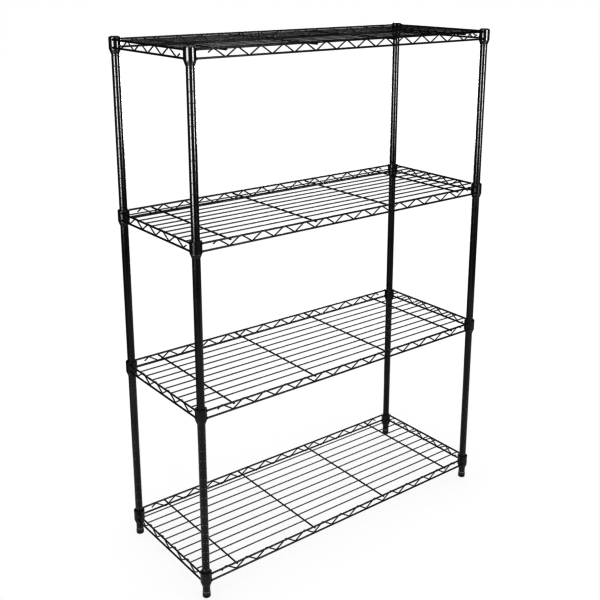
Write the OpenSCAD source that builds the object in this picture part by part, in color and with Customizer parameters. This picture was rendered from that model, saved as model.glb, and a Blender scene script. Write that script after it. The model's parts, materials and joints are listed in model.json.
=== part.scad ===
// Four-tier wire shelving rack, millimetres, +Z up.
// The origin is on the floor, midway between the four posts. The rack's front faces -Y.

/* [Rack] */
// Distance between the post axes along the front
post_span_x = 936; // [900:1:960]
// Distance between the post axes from front to rear
post_span_y = 349; // [340:1:360]
// Height of the post tubes' top ends above the floor
tube_top_z = 1371; // [1371:1:1380]
// Height of the top shelf's collars' upper edge above the floor
top_collar_z = 1370.2; // [1366:0.2:1370.2]

/* [Tiers] */
// Ring steps from the top shelf down to the upper shelf
upper_drop = 17; // [10:1:20]
// Ring steps from the top shelf down to the lower shelf
lower_drop = 33; // [28:1:40]
// Ring steps from the top shelf down to the bottom shelf
bottom_drop = 51; // [45:1:51]
// Depth of the upper shelf below its ring step
upper_settle = 1.2; // [0:0.2:3]
// Depth of the lower shelf below its ring step
lower_settle = 11; // [0:0.2:12]
// Depth of the bottom shelf below its ring step
bottom_settle = 3; // [0:0.2:4]

/* [Posts] */
// Outer diameter of the post tubes
post_d = 19.05; // [19:0.05:19.2]
// Wall thickness of the post tubes
post_wall = 1.02; // [0.9:0.02:1.2]
// Distance from one locating ring to the next
ring_pitch = 25.4; // [25.3:0.1:25.5]
// Depth of a locating ring
ring_depth = 0.35; // [0.25:0.05:0.45]
// Width of a locating ring at the tube's surface
ring_width = 1.8; // [1.6:0.1:2.4]

/* [Shelves] */
// Diameter of the rim wires
rim_d = 4.2; // [3.6:0.1:4.6]
// Height from the lower rim wires to the upper rim wires
rim_gap = 19.2; // [17:0.1:21]
// Distance of the rim wires outside the post axes
rim_offset = 9.8; // [9:0.1:10.5]
// Diameter of the deck wires
deck_d = 2.6; // [2:0.1:3]
// Number of deck wires in a shelf
deck_count = 10; // [8:1:10]
// Diameter of the crossbars under the deck wires
crossbar_d = 3.8; // [3.2:0.1:4.2]
// Diameter of the zigzag wires between the rim wires
zigzag_d = 2.7; // [2.2:0.1:3]
// Distance between deck wires
deck_pitch = 31.8; // [31:0.1:33]
// Distance from a low bend to the next high bend of a front or rear zigzag wire
long_pitch = 31.7; // [31:0.1:32]
// The same distance for the side zigzag wires
side_pitch = 32.3; // [31:0.1:33]

/* [Collars and sleeves] */
// Outer diameter of the corner collars
collar_d = 28.8; // [28.4:0.1:29.4]
// Height of the corner collars
collar_h = 29; // [29:0.5:34]
// Depth of the upper rim wires below the collars' upper edge
rim_drop = 5.4; // [4.5:0.1:7]

/* [Feet] */
// Outer diameter of the foot pads
pad_d = 19.8; // [19:0.2:22]
// Height of the foot pads
pad_h = 14; // [13:0.5:15]
// Thread diameter of the foot studs
stud_d = 8; // [7.8:0.1:8.2]

/* [Hidden] */
$fn = 32;

coat_black = "#1b1b1c";
plastic_black = "#101011";
plated_steel = "#b4b6b8";

// Gap between welded wires, and between parts that are pressed or seated together
weld_gap = 0.03;
seat_gap = 0.05;
thread_gap = 0.05;

post_r = post_d / 2;
bore_r = post_r - post_wall;
half_x = post_span_x / 2;
half_y = post_span_y / 2;
rim_r = rim_d / 2;
collar_r = collar_d / 2;
stud_r = stud_d / 2;

// Heights of the four shelves' collars' upper edges
top_z = top_collar_z;
upper_z = top_z - upper_drop * ring_pitch - upper_settle;
lower_z = top_z - lower_drop * ring_pitch - lower_settle;
bottom_z = top_z - bottom_drop * ring_pitch - bottom_settle;

// Each sleeve's bead sits in the ring this far below its collar's upper edge, less its shelf's settling
ring_below_collar = 18;
first_ring_z = top_z - ring_below_collar;
ring_count = 52;
upper_ring_count = 27;
joint_z = first_ring_z - (upper_ring_count - 0.5) * ring_pitch;
joint_gap = 0.1;

// Foot: pad on the floor, then a short gap, then the nut's flange and the tube
flange_h = 1;
nut_flange_z = pad_h + 1;
tube_bottom_z = nut_flange_z + flange_h;
nut_h = 14;
thread_pitch = 1.25;
thread_depth = 0.55;
stud_head_r = 6.4;
stud_head_h = 4.6;
stud_head_z = 4;
stud_top_z = nut_flange_z + 32;
pad_edge_r = 2.4;

// Post joint: a stud plug in the upper tube screws into a nut in the lower tube
joint_plug_h = 18;
joint_stud_r = 5;
joint_stud_h = 16;

// Cap
cap_plug_h = 10;
cap_head_h = 1;
cap_head_r = 11.6;
cap_wall = 1.6;
cap_edge_r = 0.7;

// Sleeve: a tapered plug in two halves, thicker at the bottom
sleeve_bore_r = post_r + seat_gap;
sleeve_top_r = 12.2;
sleeve_bottom_r = 13;
sleeve_above_collar = 0.6;
sleeve_below_collar = 10.5;
sleeve_lip_r = 13.4;
sleeve_foot_r = 10.3;
sleeve_lip_h = 2;
sleeve_slit_deg = 2.5;
bead_depth = ring_depth - 0.05;
bead_width = ring_width - 0.4;

rim_x = half_x + rim_offset;
rim_y = half_y + rim_offset;
zigzag_bend_r = 5;
bend_slack = 0.03;
leg_overlap = 0.3;
side_zigzag_bends = 4;
long_zigzag_bends = 13;
end_leg = 0.4;
crossbar_steps = [-12, -4, 4, 12];

// Points of an arc about (cx, cy), from angle a0 to a1
function arc(cx, cy, r, a0, a1, steps = 6) =
    [for (i = [0 : steps]) let (a = a0 + (a1 - a0) * i / steps) [cx + r * cos(a), cy + r * sin(a)]];

// Outline of one locating ring cut into a surface of radius r, read upwards
function ring_notch(r, z) = [
    [r, z - ring_width / 2],
    [r - ring_depth, z - ring_width / 5],
    [r - ring_depth, z + ring_width / 5],
    [r, z + ring_width / 2]
];

// Outline of a screw thread on a stud of radius r, from z0 up to z1
function thread_outline(r, z0, z1) =
    let (turns = floor((z1 - z0) / thread_pitch))
    [for (i = [0 : turns - 1], p = [[r, 0.2], [r - thread_depth, 0.6]])
        [p[0], z0 + (i + p[1]) * thread_pitch]];

// Places its child at one post
module at_post(side_x, side_y) {
    translate([side_x * half_x, side_y * half_y, 0]) children();
}

// Places its child at every post
module at_posts() {
    for (side_x = [-1, 1], side_y = [-1, 1]) at_post(side_x, side_y) children();
}

// A tube with the rings from first to last, counted down from the top ring
module ringed_tube(z0, z1, first, last) {
    rings = [for (i = [last : -1 : first]) each ring_notch(post_r, first_ring_z - i * ring_pitch)];
    color(coat_black)
        rotate_extrude()
            polygon(concat([[bore_r, z0], [post_r, z0]], rings, [[post_r, z1], [bore_r, z1]]));
}

module post_lower(side_x, side_y) {
    at_post(side_x, side_y)
        ringed_tube(tube_bottom_z, joint_z - joint_gap / 2, upper_ring_count, ring_count - 1);
}

module post_upper(side_x, side_y) {
    at_post(side_x, side_y)
        ringed_tube(joint_z + joint_gap / 2, tube_top_z, 0, upper_ring_count - 1);
}

module joint_studs() {
    plug_r = bore_r - seat_gap;
    z0 = joint_z - joint_stud_h;
    z1 = joint_z + joint_plug_h;
    shaft = thread_outline(joint_stud_r, z0 + 1, joint_z - 1);
    color(plated_steel)
        at_posts()
            rotate_extrude()
                polygon(concat(
                    [[0, z0], [joint_stud_r - 1, z0]],
                    shaft,
                    [[joint_stud_r - 1, joint_z - 0.5], [joint_stud_r - 1, joint_z + seat_gap]],
                    [[plug_r, joint_z + seat_gap], [plug_r, z1], [0, z1]]
                ));
}

module joint_nuts() {
    plug_r = bore_r - seat_gap;
    nut_bore_r = joint_stud_r + thread_gap;
    color(plated_steel)
        at_posts()
            translate([0, 0, joint_z - seat_gap - joint_plug_h])
                difference() {
                    cylinder(h = joint_plug_h, r = plug_r);
                    translate([0, 0, -1]) cylinder(h = joint_plug_h + 2, r = nut_bore_r);
                }
}

module caps() {
    plug_r = bore_r - seat_gap;
    z0 = tube_top_z + seat_gap;
    z1 = tube_top_z + cap_head_h;
    color(plastic_black)
        at_posts()
            rotate_extrude()
                polygon(concat(
                    [[0, z0], [plug_r - cap_wall, z0], [plug_r - cap_wall, z0 - cap_plug_h]],
                    [[plug_r, z0 - cap_plug_h], [plug_r, z0], [cap_head_r, z0]],
                    arc(cap_head_r - cap_edge_r, z1 - cap_edge_r, cap_edge_r, 0, 90),
                    [[0, z1]]
                ));
}

module nuts_for_feet() {
    plug_r = bore_r - seat_gap;
    color(plated_steel)
        at_posts()
            translate([0, 0, nut_flange_z])
                difference() {
                    union() {
                        cylinder(h = nut_h, r = plug_r);
                        cylinder(h = flange_h - seat_gap, r = post_r);
                    }
                    translate([0, 0, -1]) cylinder(h = nut_h + 2, r = stud_r + thread_gap);
                }
}

module foot_pad(side_x, side_y) {
    pad_r = pad_d / 2;
    cavity_r = stud_head_r + seat_gap;
    neck_r = stud_r + 2 * thread_gap;
    color(plastic_black)
        at_post(side_x, side_y)
            rotate_extrude()
                polygon(concat(
                    [[0, 0]],
                    arc(pad_r - pad_edge_r, pad_edge_r, pad_edge_r, -90, 0),
                    arc(pad_r - 1.6, pad_h - 1.6, 1.6, 0, 90),
                    [[neck_r, pad_h], [neck_r, stud_head_z + stud_head_h + seat_gap]],
                    [[cavity_r, stud_head_z + stud_head_h + seat_gap]],
                    [[cavity_r, stud_head_z - seat_gap], [0, stud_head_z - seat_gap]]
                ));
}

module foot_stud(side_x, side_y) {
    head_top = stud_head_z + stud_head_h;
    thread_z = nut_flange_z - 0.6;
    color(plated_steel)
        at_post(side_x, side_y)
            rotate_extrude()
                polygon(concat(
                    [[0, stud_head_z], [stud_head_r, stud_head_z], [stud_head_r, head_top]],
                    [[stud_r, head_top]],
                    thread_outline(stud_r, thread_z, stud_top_z - 1),
                    [[stud_r - 1, stud_top_z], [0, stud_top_z]]
                ));
}

// One sleeve half about the Z axis, on its +Y side, for the shelf whose collars' upper edge is at z
// and which has settled below its ring step
module sleeve_half(z, settle) {
    taper = (sleeve_bottom_r - sleeve_top_r) / collar_h;
    ring_z = z - ring_below_collar + settle;
    color(plastic_black)
        rotate([0, 0, sleeve_slit_deg])
            rotate_extrude(angle = 180 - 2 * sleeve_slit_deg)
                polygon([
                    [sleeve_bore_r, z - collar_h - sleeve_below_collar],
                    [sleeve_foot_r, z - collar_h - sleeve_below_collar],
                    [sleeve_lip_r, z - collar_h - sleeve_lip_h],
                    [sleeve_lip_r, z - collar_h - 0.6],
                    [sleeve_bottom_r, z - collar_h - 0.6],
                    [sleeve_bottom_r, z - collar_h],
                    [sleeve_top_r, z],
                    [sleeve_top_r - taper, z + sleeve_above_collar - 0.3],
                    [sleeve_top_r - 0.4, z + sleeve_above_collar],
                    [sleeve_bore_r, z + sleeve_above_collar],
                    [sleeve_bore_r, ring_z + bead_width / 2],
                    [sleeve_bore_r - bead_depth, ring_z + bead_width / 6],
                    [sleeve_bore_r - bead_depth, ring_z - bead_width / 6],
                    [sleeve_bore_r, ring_z - bead_width / 2]
                ]);
}

// The sleeve halves that face forwards at the front posts, and rearwards at the rear posts
module outer_halves(z, settle = 0) {
    for (side_x = [-1, 1], side_y = [-1, 1])
        at_post(side_x, side_y)
            rotate([0, 0, side_y > 0 ? 0 : 180]) sleeve_half(z, settle);
}

// The sleeve halves that face the middle of the rack's depth
module inner_halves(z, settle = 0) {
    for (side_x = [-1, 1], side_y = [-1, 1])
        at_post(side_x, side_y)
            rotate([0, 0, side_y > 0 ? 180 : 0]) sleeve_half(z, settle);
}

module collars(z) {
    edge = 0.5;
    lower_bore_r = sleeve_bottom_r + seat_gap;
    upper_bore_r = sleeve_top_r + seat_gap;
    color(coat_black)
        at_posts()
            rotate_extrude()
                polygon([
                    [lower_bore_r, z - collar_h],
                    [collar_r - edge, z - collar_h],
                    [collar_r, z - collar_h + edge],
                    [collar_r, z - edge],
                    [collar_r - edge, z],
                    [upper_bore_r, z]
                ]);
}

// A straight wire of diameter d along X, centred on x = 0
module wire_x(length, d) {
    rotate([0, 90, 0]) cylinder(h = length, d = d, center = true);
}

// A straight wire of diameter d along Y, centred on y = 0
module wire_y(length, d) {
    rotate([90, 0, 0]) cylinder(h = length, d = d, center = true);
}

// Four rim wires at height wire_z, their ends shaped to the collars whose upper edge is at z
module rims(z, wire_z) {
    color(coat_black)
        difference() {
            union() {
                for (side = [-1, 1]) {
                    translate([0, side * rim_y, wire_z]) wire_x(post_span_x, rim_d);
                    translate([side * rim_x, 0, wire_z]) wire_y(post_span_y, rim_d);
                }
            }
            at_posts()
                translate([0, 0, z - collar_h - 1])
                    cylinder(h = collar_h + 2, r = collar_r + weld_gap);
        }
}

module upper_rims(z) {
    rims(z, z - rim_drop);
}

module lower_rims(z) {
    rims(z, z - rim_drop - rim_gap);
}

// A zigzag wire in the XZ plane, centred on the origin, with bends from -bends to bends, pitch apart.
// Even bends are low and odd bends are high. Each end has a part end_leg of a leg after its last bend.
// The legs reach a little way over the ends of the bends, which are thinner by bend_slack.
module zigzag(pitch, bends) {
    leg_r = zigzag_d / 2;
    inner_h = rim_gap - 2 * zigzag_bend_r;
    slope = atan2(inner_h, pitch)
        + asin(2 * zigzag_bend_r / sqrt(pitch * pitch + inner_h * inner_h));
    leg_run = pitch - 2 * zigzag_bend_r * sin(slope);
    leg_length = leg_run / cos(slope);
    for (i = [-bends : bends]) {
        up = i % 2 == 0 ? -1 : 1;
        translate([i * pitch, 0, up * inner_h / 2])
            rotate([90, 0, 0])
                rotate([0, 0, up * 90 - slope])
                    rotate_extrude(angle = 2 * slope)
                        translate([zigzag_bend_r, 0]) circle(r = leg_r - bend_slack);
    }
    for (i = [-bends - 1 : bends]) {
        up = i % 2 == 0 ? -1 : 1;
        first = i < -bends;
        part = first || i == bends ? end_leg : 1;
        start = first ? leg_length * (1 - part) : -leg_overlap;
        length = leg_length * part + (part == 1 ? 2 : 1) * leg_overlap;
        translate([
            i * pitch + zigzag_bend_r * sin(slope),
            0,
            up * (inner_h / 2 + zigzag_bend_r * cos(slope))
        ])
            rotate([0, 90 + up * slope, 0])
                translate([0, 0, start]) cylinder(h = length, r = leg_r);
    }
}

// The four zigzag wires, on the inner sides of the rim wires
module zigzags(z) {
    inset = rim_r + zigzag_d / 2 + weld_gap;
    mid_z = z - rim_drop - rim_gap / 2;
    color(coat_black)
        for (side = [-1, 1]) {
            translate([0, side * (rim_y - inset), mid_z])
                zigzag(long_pitch, long_zigzag_bends);
            translate([side * (rim_x - inset), 0, mid_z])
                rotate([0, 0, 90]) zigzag(side_pitch, side_zigzag_bends);
        }
}

// Height of the crossbars' upper sides, which are welded under the front and rear upper rim wires
function crossbar_top(z) = z - rim_drop - rim_r - weld_gap;

// The deck wires lie on the crossbars, and butt against the side upper rim wires
module deck_wires(z) {
    deck_z = crossbar_top(z) + weld_gap + deck_d / 2;
    deck_length = 2 * (rim_x - rim_r - weld_gap);
    color(coat_black)
        for (i = [0 : deck_count - 1])
            translate([0, (i - (deck_count - 1) / 2) * deck_pitch, deck_z])
                wire_x(deck_length, deck_d);
}

// The crossbars end under the outer halves of the front and rear upper rim wires
module crossbars(z) {
    bar_z = crossbar_top(z) - crossbar_d / 2;
    bar_length = 2 * rim_y + rim_r;
    color(coat_black)
        for (step = crossbar_steps)
            translate([step * long_pitch, 0, bar_z]) wire_y(bar_length, crossbar_d);
}

post_lower(-1, -1);  // front_left_post_lower
post_lower(1, -1);  // front_right_post_lower
post_lower(-1, 1);  // rear_left_post_lower
post_lower(1, 1);  // rear_right_post_lower
post_upper(-1, -1);  // front_left_post_upper
post_upper(1, -1);  // front_right_post_upper
post_upper(-1, 1);  // rear_left_post_upper
post_upper(1, 1);  // rear_right_post_upper
joint_studs();  // post_joint_studs
joint_nuts();  // post_joint_nuts
caps();  // post_caps
nuts_for_feet();  // foot_nuts
outer_halves(top_z);  // top_sleeves_outer_halves
inner_halves(top_z);  // top_sleeves_inner_halves
outer_halves(upper_z, upper_settle);  // upper_sleeves_outer_halves
inner_halves(upper_z, upper_settle);  // upper_sleeves_inner_halves
outer_halves(lower_z, lower_settle);  // lower_sleeves_outer_halves
inner_halves(lower_z, lower_settle);  // lower_sleeves_inner_halves
outer_halves(bottom_z, bottom_settle);  // bottom_sleeves_outer_halves
inner_halves(bottom_z, bottom_settle);  // bottom_sleeves_inner_halves
collars(top_z);  // top_shelf_collars
upper_rims(top_z);  // top_shelf_upper_rims
lower_rims(top_z);  // top_shelf_lower_rims
zigzags(top_z);  // top_shelf_zigzags
deck_wires(top_z);  // top_shelf_deck_wires
crossbars(top_z);  // top_shelf_crossbars
collars(upper_z);  // upper_shelf_collars
upper_rims(upper_z);  // upper_shelf_upper_rims
lower_rims(upper_z);  // upper_shelf_lower_rims
zigzags(upper_z);  // upper_shelf_zigzags
deck_wires(upper_z);  // upper_shelf_deck_wires
crossbars(upper_z);  // upper_shelf_crossbars
collars(lower_z);  // lower_shelf_collars
upper_rims(lower_z);  // lower_shelf_upper_rims
lower_rims(lower_z);  // lower_shelf_lower_rims
zigzags(lower_z);  // lower_shelf_zigzags
deck_wires(lower_z);  // lower_shelf_deck_wires
crossbars(lower_z);  // lower_shelf_crossbars
collars(bottom_z);  // bottom_shelf_collars
upper_rims(bottom_z);  // bottom_shelf_upper_rims
lower_rims(bottom_z);  // bottom_shelf_lower_rims
zigzags(bottom_z);  // bottom_shelf_zigzags
deck_wires(bottom_z);  // bottom_shelf_deck_wires
crossbars(bottom_z);  // bottom_shelf_crossbars
foot_pad(-1, -1);  // front_left_foot_pad
foot_pad(1, -1);  // front_right_foot_pad
foot_pad(-1, 1);  // rear_left_foot_pad
foot_pad(1, 1);  // rear_right_foot_pad
foot_stud(-1, -1);  // front_left_foot_stud
foot_stud(1, -1);  // front_right_foot_stud
foot_stud(-1, 1);  // rear_left_foot_stud
foot_stud(1, 1);  // rear_right_foot_stud
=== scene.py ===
"""Looks for the four-tier wire shelving rack: materials, weld beads, floor, lights and camera."""

import json
import math
import random

import bmesh
import bpy
from mathutils import Matrix, Vector


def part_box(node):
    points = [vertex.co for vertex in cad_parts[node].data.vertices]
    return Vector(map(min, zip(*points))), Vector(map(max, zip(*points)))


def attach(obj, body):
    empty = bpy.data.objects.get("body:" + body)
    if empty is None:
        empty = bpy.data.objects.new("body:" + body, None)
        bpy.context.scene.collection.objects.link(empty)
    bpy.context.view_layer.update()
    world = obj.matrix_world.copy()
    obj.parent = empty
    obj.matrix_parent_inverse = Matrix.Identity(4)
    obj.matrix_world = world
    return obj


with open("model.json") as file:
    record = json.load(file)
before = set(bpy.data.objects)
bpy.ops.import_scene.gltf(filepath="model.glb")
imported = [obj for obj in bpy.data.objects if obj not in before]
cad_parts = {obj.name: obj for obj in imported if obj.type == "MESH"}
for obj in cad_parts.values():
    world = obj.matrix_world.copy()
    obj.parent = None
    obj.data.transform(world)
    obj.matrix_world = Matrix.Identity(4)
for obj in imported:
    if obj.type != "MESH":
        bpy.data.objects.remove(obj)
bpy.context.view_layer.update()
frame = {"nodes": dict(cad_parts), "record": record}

TIERS = ("top", "upper", "lower", "bottom")
MM = 0.001


# ---------------------------------------------------------------- materials

class Nodes:
    """Short calls for building one material's node tree."""

    def __init__(self, name):
        self.material = bpy.data.materials.new(name)
        self.material.use_nodes = True
        self.tree = self.material.node_tree
        self.tree.nodes.clear()
        self.output = self.add("ShaderNodeOutputMaterial")

    def add(self, kind, **settings):
        node = self.tree.nodes.new(kind)
        for key, value in settings.items():
            setattr(node, key, value)
        return node

    def link(self, source, target):
        self.tree.links.new(source, target)

    def value(self, node, **inputs):
        """Sets inputs by name, with _ for a space, from numbers, colours or sockets."""
        for key, value in inputs.items():
            socket = node.inputs[key.replace("_", " ")]
            if isinstance(value, bpy.types.NodeSocket):
                self.link(value, socket)
            else:
                socket.default_value = value
        return node

    def position(self):
        return self.add("ShaderNodeNewGeometry").outputs["Position"]

    def noise(self, scale, detail=2.0, roughness=0.5, vector=None):
        node = self.add("ShaderNodeTexNoise")
        self.value(node, Vector=vector or self.position(), Scale=scale, Detail=detail, Roughness=roughness)
        return node.outputs["Fac"]

    def span(self, source, low, high, to_low, to_high):
        """Maps source from low..high to to_low..to_high, clamped."""
        node = self.add("ShaderNodeMapRange")
        self.link(source, node.inputs["Value"])
        node.inputs["From Min"].default_value = low
        node.inputs["From Max"].default_value = high
        node.inputs["To Min"].default_value = to_low
        node.inputs["To Max"].default_value = to_high
        return node.outputs["Result"]

    def math(self, operation, a, b):
        node = self.add("ShaderNodeMath", operation=operation)
        for socket, value in zip(node.inputs, (a, b)):
            if isinstance(value, bpy.types.NodeSocket):
                self.link(value, socket)
            else:
                socket.default_value = value
        return node.outputs["Value"]

    def mix(self, factor, a, b):
        node = self.add("ShaderNodeMix", data_type="RGBA")
        self.link(factor, node.inputs["Factor"])
        for socket, value in ((node.inputs[6], a), (node.inputs[7], b)):
            if isinstance(value, bpy.types.NodeSocket):
                self.link(value, socket)
            else:
                socket.default_value = value
        return node.outputs[2]

    def edge_mask(self, radius, low, high):
        """0 on open surface and up to 1 on edges sharper than the radius."""
        bevel = self.add("ShaderNodeBevel", samples=4)
        bevel.inputs["Radius"].default_value = radius
        geometry = self.add("ShaderNodeNewGeometry")
        dot = self.add("ShaderNodeVectorMath", operation="DOT_PRODUCT")
        self.link(bevel.outputs["Normal"], dot.inputs[0])
        self.link(geometry.outputs["Normal"], dot.inputs[1])
        return self.span(dot.outputs["Value"], high, low, 0.0, 1.0)

    def bump(self, height, strength, distance):
        node = self.add("ShaderNodeBump")
        node.inputs["Strength"].default_value = strength
        node.inputs["Distance"].default_value = distance
        self.link(height, node.inputs["Height"])
        return node.outputs["Normal"]

    def surface(self, **inputs):
        shader = self.add("ShaderNodeBsdfPrincipled")
        self.value(shader, **inputs)
        self.link(shader.outputs["BSDF"], self.output.inputs["Surface"])
        return self.material


# How light dust and rubbed edges are
WORN = 0.08
# How wide the wear on an edge is
COAT_WEAR = 0.5 * MM
PLASTIC_WEAR = 0.6 * MM
# How deep each surface's relief is
PEEL_DEPTH = 0.035 * MM
GRAIN_DEPTH = 0.05 * MM
TURNING_DEPTH = 0.03 * MM


def grey(level):
    """A grey that leans very slightly to blue."""
    return (level, level, level * 1.03, 1.0)


def epoxy_coat(name, level=0.009, rough=0.24, peel=520.0, wear=0.30, shine=1.0):
    """Gloss black epoxy on steel: orange peel, faint dust, and edges where the coat is thin."""
    n = Nodes(name)
    cloud = n.noise(9.0, detail=3.0)
    fine = n.noise(1900.0, detail=2.0)
    dust = n.span(n.noise(160.0, detail=4.0, roughness=0.65), 0.60, 0.74, 0.0, 1.0)
    edge = n.math("MULTIPLY", n.edge_mask(COAT_WEAR, 0.55, 0.93), n.span(fine, 0.38, 0.62, 0.2, 1.0))
    coat = n.mix(n.span(cloud, 0.3, 0.7, 0.0, 1.0), grey(level), grey(level * 1.7))
    coat = n.mix(n.math("MULTIPLY", dust, 0.12), coat, grey(WORN))
    coat = n.mix(n.math("MULTIPLY", edge, wear), coat, grey(WORN))
    gloss = n.span(cloud, 0.3, 0.7, rough - 0.05, rough + 0.05)
    gloss = n.math("ADD", gloss, n.math("MULTIPLY", dust, 0.10))
    gloss = n.math("ADD", gloss, n.math("MULTIPLY", edge, 0.08))
    height = n.math("ADD", n.noise(peel, detail=1.5), n.math("MULTIPLY", fine, 0.15))
    return n.surface(
        Base_Color=coat,
        Roughness=gloss,
        Specular_IOR_Level=0.5 * shine,
        Coat_Weight=0.25 * shine,
        Coat_Roughness=0.12,
        Normal=n.bump(height, 0.25, PEEL_DEPTH),
    )


def moulded_plastic(name, level=0.011, rough=0.42):
    """Satin black moulded plastic: fine spark-eroded grain and rubbed edges."""
    n = Nodes(name)
    cloud = n.noise(35.0, detail=2.0)
    grain = n.noise(2600.0, detail=3.0, roughness=0.6)
    edge = n.edge_mask(PLASTIC_WEAR, 0.5, 0.92)
    base = n.mix(n.span(cloud, 0.3, 0.7, 0.0, 1.0), grey(level), grey(level * 1.5))
    base = n.mix(n.math("MULTIPLY", edge, 0.35), base, grey(WORN))
    gloss = n.span(cloud, 0.3, 0.7, rough - 0.05, rough + 0.06)
    gloss = n.math("ADD", gloss, n.math("MULTIPLY", edge, -0.08))
    return n.surface(
        Base_Color=base,
        Roughness=gloss,
        Specular_IOR_Level=0.45,
        Normal=n.bump(grain, 0.35, GRAIN_DEPTH),
    )


def zinc_plate(name):
    """Bright zinc on turned steel: fine turning rings around Z, with a cloudy passivation."""
    n = Nodes(name)
    cloud = n.noise(120.0, detail=3.0)
    wave = n.add("ShaderNodeTexWave", wave_type="BANDS", bands_direction="Z")
    n.value(wave, Vector=n.position(), Scale=1400.0, Distortion=0.6, Detail=1.0)
    colour = n.mix(n.span(cloud, 0.3, 0.7, 0.0, 1.0), (0.55, 0.56, 0.58, 1.0), (0.66, 0.65, 0.60, 1.0))
    return n.surface(
        Base_Color=colour,
        Metallic=1.0,
        Roughness=n.span(cloud, 0.3, 0.7, 0.24, 0.40),
        Normal=n.bump(wave.outputs["Fac"], 0.2, TURNING_DEPTH),
    )


MATERIALS = {
    "post_coat": epoxy_coat("post_coat", rough=0.20, peel=430.0),
    "collar_coat": epoxy_coat("collar_coat", rough=0.22, peel=480.0),
    "wire_coat": epoxy_coat("wire_coat", level=0.006, rough=0.27, peel=700.0, shine=0.45),
    "cap_plastic": moulded_plastic("cap_plastic", rough=0.36),
    "sleeve_plastic": moulded_plastic("sleeve_plastic", rough=0.34),
    "foot_plastic": moulded_plastic("foot_plastic", level=0.013, rough=0.38),
    "plated_steel": zinc_plate("plated_steel"),
}


def paint_cad_nodes():
    """Gives each CAD node the one material that its record asks for."""
    slots = {part["node"]: part["material_slot"] for part in frame["record"]["subparts"]}
    for node, piece in frame["nodes"].items():
        piece.data.materials.clear()
        piece.data.materials.append(MATERIALS[slots[node]])
        for polygon in piece.data.polygons:
            polygon.material_index = 0


# ---------------------------------------------------------------- weld beads

BEAD_SEED = 11
BEAD_SEGMENTS = 12
BEAD_RINGS = 7
# Each bead is drawn at a random size between these, as a share of its radii
BEAD_SIZES = (0.88, 1.12)
# Bead radii in mm along X, Y and Z
BEADS = {
    "deck_end": (1.5, 2.0, 1.6),
    "crossing": (2.0, 1.9, 0.9),
    "bar_end": (2.6, 2.3, 1.3),
    "long_bend": (3.0, 0.8, 1.4),
    "side_bend": (0.8, 3.0, 1.4),
    "long_rim_end": (3.2, 2.7, 2.8),
    "side_rim_end": (2.7, 3.2, 2.8),
}

# Post axes, measured from the middle of the rack, and the collars' outside radius
POST_LOW, POST_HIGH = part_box("rear_right_post_lower")
POST_X = (POST_LOW.x + POST_HIGH.x) / 2
POST_Y = (POST_LOW.y + POST_HIGH.y) / 2
COLLAR_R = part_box("top_shelf_collars")[1].x - POST_X
DECK_COUNT = 10
# Zigzag bends on either side of the middle one, along the width and along the depth
LONG_BENDS = 13
SIDE_BENDS = 4
LONG_PITCHES_TO_OUTER_BAR = 12
SIDE_PITCH = 32.3 * MM


def unit_sphere():
    """Points and faces of a sphere of radius 1."""
    mesh = bmesh.new()
    bmesh.ops.create_uvsphere(mesh, u_segments=BEAD_SEGMENTS, v_segments=BEAD_RINGS, radius=1.0)
    points = [vertex.co.copy() for vertex in mesh.verts]
    faces = [[vertex.index for vertex in face.verts] for face in mesh.faces]
    mesh.free()
    return points, faces


class Beads:
    """The weld beads of one shelf: ellipsoids, each a little larger or smaller than asked for."""

    def __init__(self, sphere, sizes):
        self.sphere_points, self.sphere_faces = sphere
        self.sizes = sizes
        self.points = []
        self.faces = []

    def add(self, kind, centre):
        """Adds a bead of one of the kinds in BEADS at centre, in metres."""
        size = MM * self.sizes.uniform(*BEAD_SIZES)
        first = len(self.points)
        for point in self.sphere_points:
            self.points.append([c + p * r * size for c, p, r in zip(centre, point, BEADS[kind])])
        for face in self.sphere_faces:
            self.faces.append([first + index for index in face])

    def piece(self, name, body, slot):
        data = bpy.data.meshes.new(name)
        data.from_pydata(self.points, [], self.faces)
        for polygon in data.polygons:
            polygon.use_smooth = True
        data.materials.append(MATERIALS[slot])
        piece = bpy.data.objects.new(name, data)
        bpy.context.scene.collection.objects.link(piece)
        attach(piece, body)


def wire_span(node):
    """Lowest and highest corner of a node of round wires, and the wires' radius, from its height."""
    low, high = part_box(node)
    return low, high, (high.z - low.z) / 2


def add_deck_welds(beads, tier):
    """Deck wires butt against the side rims and cross the crossbars; crossbars end under the long rims."""
    rim_low, rim_high, rim_r = wire_span(f"{tier}_shelf_upper_rims")
    deck_low, deck_high, deck_r = wire_span(f"{tier}_shelf_deck_wires")
    _, bar_high, bar_r = wire_span(f"{tier}_shelf_crossbars")
    outer_bar = bar_high.x - bar_r
    bars = (-outer_bar, -outer_bar / 3, outer_bar / 3, outer_bar)
    first_wire = deck_low.y + deck_r
    pitch = (deck_high.y - deck_low.y - 2 * deck_r) / (DECK_COUNT - 1)
    for wire in range(DECK_COUNT):
        y = first_wire + wire * pitch
        for x in (deck_low.x, deck_high.x):
            beads.add("deck_end", (x, y, deck_low.z + deck_r))
        for x in bars:
            beads.add("crossing", (x, y, bar_high.z))
    for x in bars:
        for y in (rim_low.y + rim_r, rim_high.y - rim_r):
            beads.add("bar_end", (x, y, bar_high.z))


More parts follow.
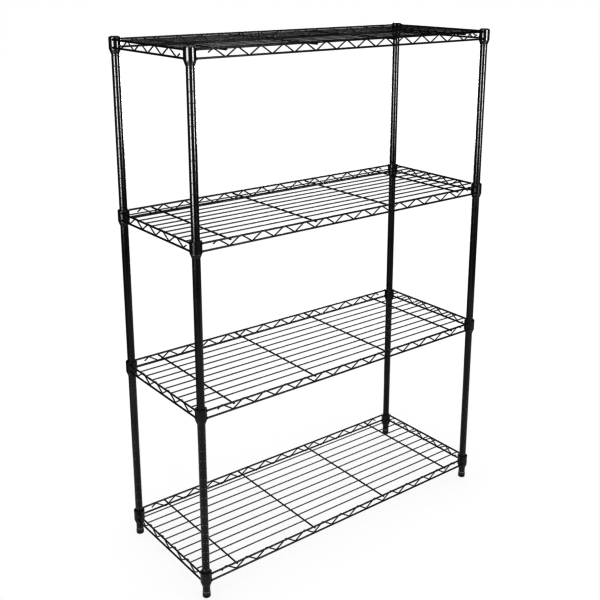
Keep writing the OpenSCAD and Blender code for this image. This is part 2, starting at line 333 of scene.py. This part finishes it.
def add_zigzag_welds(beads, tier):
    """High bends are welded to the upper rims and low bends to the lower rims."""
    _, bar_high, bar_r = wire_span(f"{tier}_shelf_crossbars")
    pitch = (bar_high.x - bar_r) / LONG_PITCHES_TO_OUTER_BAR
    for level, remainder in (("upper", 1), ("lower", 0)):
        low, high, rim_r = wire_span(f"{tier}_shelf_{level}_rims")
        z = low.z + rim_r
        for bend in range(-LONG_BENDS, LONG_BENDS + 1):
            if bend % 2 == remainder:
                for y in (low.y + 2 * rim_r, high.y - 2 * rim_r):
                    beads.add("long_bend", (bend * pitch, y, z))
        for bend in range(-SIDE_BENDS, SIDE_BENDS + 1):
            if bend % 2 == remainder:
                for x in (low.x + 2 * rim_r, high.x - 2 * rim_r):
                    beads.add("side_bend", (x, bend * SIDE_PITCH, z))


def add_collar_welds(beads, tier):
    """Each rim wire's ends are welded to the outsides of two collars."""
    for level in ("upper", "lower"):
        low, high, rim_r = wire_span(f"{tier}_shelf_{level}_rims")
        rim_x = high.x - rim_r
        rim_y = high.y - rim_r
        z = low.z + rim_r
        reach = math.sqrt(COLLAR_R ** 2 - (rim_y - POST_Y) ** 2)
        for side_x in (-1, 1):
            for side_y in (-1, 1):
                beads.add("long_rim_end", (side_x * (POST_X - reach), side_y * rim_y, z))
                beads.add("side_rim_end", (side_x * rim_x, side_y * (POST_Y - reach), z))


def build_welds():
    sphere = unit_sphere()
    sizes = random.Random(BEAD_SEED)
    for tier in TIERS:
        beads = Beads(sphere, sizes)
        add_deck_welds(beads, tier)
        add_zigzag_welds(beads, tier)
        add_collar_welds(beads, tier)
        beads.piece(f"{tier}_shelf_welds", f"{tier}_shelf", "wire_coat")


# ---------------------------------------------------------------- broken edges

SHARP_ANGLE = math.radians(40.0)
BROKEN_EDGES = {"collars": 0.35 * MM, "crossbars": 0.5 * MM, "halves": 0.25 * MM, "caps": 0.2 * MM}


def break_edges():
    """Small rounds on the sharp edges of the CAD pieces whose edges are seen."""
    for node, piece in frame["nodes"].items():
        width = BROKEN_EDGES.get(node.split("_")[-1])
        if width:
            bevel = piece.modifiers.new("broken_edges", "BEVEL")
            bevel.width = width
            bevel.segments = 2
            bevel.limit_method = "ANGLE"
            bevel.angle_limit = SHARP_ANGLE
            bevel.harden_normals = True


# ---------------------------------------------------------------- stage

FLOOR_HALF = 14.0
FLOOR_TOP = -0.2 * MM
FLOOR_GLOW = 0.87
FLOOR_TONES = ((0.13, 0.13, 0.13, 1.0), (0.15, 0.15, 0.15, 1.0))
# Brightness of the world for everything but the gloss of the coat, and in that gloss
WORLD_LIGHT = 1.0
WORLD_IN_GLOSS = 0.04
WHITE = (1.0, 1.0, 1.0, 1.0)
# Below 1 gives the deep blacks and crisp thin wires of a catalogue print
PRINT_GAMMA = 0.47


def build_floor():
    """A white light table: it glows, so that the rack's shadow on it is faint."""
    data = bpy.data.meshes.new("floor")
    corners = ((-1, -1), (1, -1), (1, 1), (-1, 1))
    data.from_pydata([(x * FLOOR_HALF, y * FLOOR_HALF, 0) for x, y in corners], [], [(0, 1, 2, 3)])
    floor = bpy.data.objects.new("floor", data)
    floor.location.z = FLOOR_TOP
    bpy.context.scene.collection.objects.link(floor)
    n = Nodes("floor_pale")
    tone = n.mix(n.noise(0.8, detail=2.0), *FLOOR_TONES)
    glow = {"Emission_Color": WHITE, "Emission_Strength": FLOOR_GLOW}
    data.materials.append(n.surface(Base_Color=tone, Roughness=0.85, Specular_IOR_Level=0.0, **glow))
    floor.visible_glossy = False


def build_world():
    """White to the camera, even soft light for the floor, and dark in the gloss of the coat."""
    world = bpy.data.worlds.new("studio")
    world.use_nodes = True
    tree = world.node_tree
    tree.nodes.clear()
    path = tree.nodes.new("ShaderNodeLightPath")
    lit = tree.nodes.new("ShaderNodeMix")
    lit.data_type = "FLOAT"
    lit.inputs[2].default_value = WORLD_LIGHT
    lit.inputs[3].default_value = WORLD_IN_GLOSS
    tree.links.new(path.outputs["Is Glossy Ray"], lit.inputs[0])
    seen = tree.nodes.new("ShaderNodeMix")
    seen.data_type = "FLOAT"
    seen.inputs[3].default_value = WORLD_LIGHT
    tree.links.new(path.outputs["Is Camera Ray"], seen.inputs[0])
    tree.links.new(lit.outputs[0], seen.inputs[2])
    background = tree.nodes.new("ShaderNodeBackground")
    background.inputs["Color"].default_value = WHITE
    tree.links.new(seen.outputs[0], background.inputs["Strength"])
    output = tree.nodes.new("ShaderNodeOutputWorld")
    tree.links.new(background.outputs[0], output.inputs["Surface"])
    world.cycles.sampling_method = "NONE"
    bpy.context.scene.world = world


# Each softbox: its place and what it faces, in metres, its width and height, its watts
SOFTBOXES = {
    "left_softbox": ((-3.2, -0.9, 1.3), (-0.3, -0.1, 1.3), 2.1, 2.3, 280.0),
    "right_softbox": ((1.1, -3.4, 1.5), (0.3, 0.0, 1.5), 1.8, 2.3, 290.0),
    "top_softbox": ((0.0, 0.3, 3.6), (0.0, 0.0, 0.0), 2.4, 2.4, 80.0),
    "back_softbox": ((2.1, 2.7, 1.5), (0.0, 0.0, 1.2), 1.2, 2.2, 95.0),
    "floor_bounce": ((0.0, -0.6, 0.004), (0.0, -0.6, 1.0), 3.4, 2.4, 32.0),
}
# The sleeves' cones face down, past the lower edge of the softboxes, so they get low boxes of their own
NEAR_TOP_SLEEVE = (-POST_X, -POST_Y, 1.325)
SLEEVE_BOXES = {
    "left_low_box": ((-2.24, -0.65, 0.02), NEAR_TOP_SLEEVE, 1.4, 0.6, 47.0),
    "right_low_box": ((0.36, -1.9, 0.02), NEAR_TOP_SLEEVE, 1.0, 0.6, 33.0),
}


def add_softbox(name, place, target, width, height, power, receivers):
    """An area light that the camera doesn't see, for what the receivers collection lets it light."""
    data = bpy.data.lights.new(name, "AREA")
    data.shape = "RECTANGLE"
    data.size = width
    data.size_y = height
    data.energy = power
    light = bpy.data.objects.new(name, data)
    light.location = place
    light.rotation_euler = (Vector(target) - Vector(place)).to_track_quat("-Z", "Y").to_euler()
    light.visible_camera = False
    light.light_linking.receiver_collection = receivers
    bpy.context.scene.collection.objects.link(light)


def all_but_floor():
    """Leaves the floor to the even light of the world."""
    receivers = bpy.data.collections.new("all_but_floor")
    receivers.objects.link(bpy.data.objects["floor"])
    receivers.collection_objects[0].light_linking.link_state = "EXCLUDE"
    return receivers


def sleeves_only():
    receivers = bpy.data.collections.new("sleeves_only")
    for node, piece in frame["nodes"].items():
        if "_sleeves_" in node:
            receivers.objects.link(piece)
    return receivers


def build_lights():
    for boxes, receivers in ((SOFTBOXES, all_but_floor()), (SLEEVE_BOXES, sleeves_only())):
        for name, box in boxes.items():
            add_softbox(name, *box, receivers)


# ---------------------------------------------------------------- camera

# The lens and the sensor's side in mm, the lens shift in shares of the picture's side, angles in radians
LENS = 55.938
SENSOR = 36.0
SHIFTS = {"shift_x": -0.01388, "shift_y": -0.1283}
EYE = (-1.5176, -1.9205, 1.5413)
AZIMUTH = 0.6667
DIP = 0.2709
ROLL = 0.0024
# How far from EYE, in metres, the lens shift is gone
AWAY = 0.1


def shift_lens_at_eye(camera):
    """The lens is shifted only while the camera stands at EYE, so that views from elsewhere are centred."""
    mark = bpy.data.objects.new("camera_place", None)
    mark.location = EYE
    bpy.context.scene.collection.objects.link(mark)
    for setting, shift in SHIFTS.items():
        curve = camera.data.driver_add(setting)
        curve.driver.type = "SUM"
        distance = curve.driver.variables.new()
        distance.type = "LOC_DIFF"
        distance.targets[0].id = camera
        distance.targets[1].id = mark
        for modifier in list(curve.modifiers):
            curve.modifiers.remove(modifier)
        curve.keyframe_points.insert(0.0, shift)
        curve.keyframe_points.insert(AWAY, 0.0)


def build_camera():
    ahead = Vector((math.sin(AZIMUTH) * math.cos(DIP), math.cos(AZIMUTH) * math.cos(DIP), -math.sin(DIP)))
    right = Vector((math.cos(AZIMUTH), -math.sin(AZIMUTH), 0.0))
    up = right.cross(ahead)
    right, up = (
        right * math.cos(ROLL) + up * math.sin(ROLL),
        up * math.cos(ROLL) - right * math.sin(ROLL),
    )
    data = bpy.data.cameras.new("camera")
    data.sensor_width = SENSOR
    data.lens = LENS
    data.clip_start = 0.05
    camera = bpy.data.objects.new("camera", data)
    camera.matrix_world = Matrix([
        (right.x, up.x, -ahead.x, EYE[0]),
        (right.y, up.y, -ahead.y, EYE[1]),
        (right.z, up.z, -ahead.z, EYE[2]),
        (0.0, 0.0, 0.0, 1.0),
    ])
    bpy.context.scene.collection.objects.link(camera)
    bpy.context.scene.camera = camera
    shift_lens_at_eye(camera)


paint_cad_nodes()
break_edges()
build_welds()
build_floor()
build_world()
build_lights()
build_camera()
bpy.context.scene.view_settings.view_transform = "Standard"
bpy.context.scene.view_settings.gamma = PRINT_GAMMA
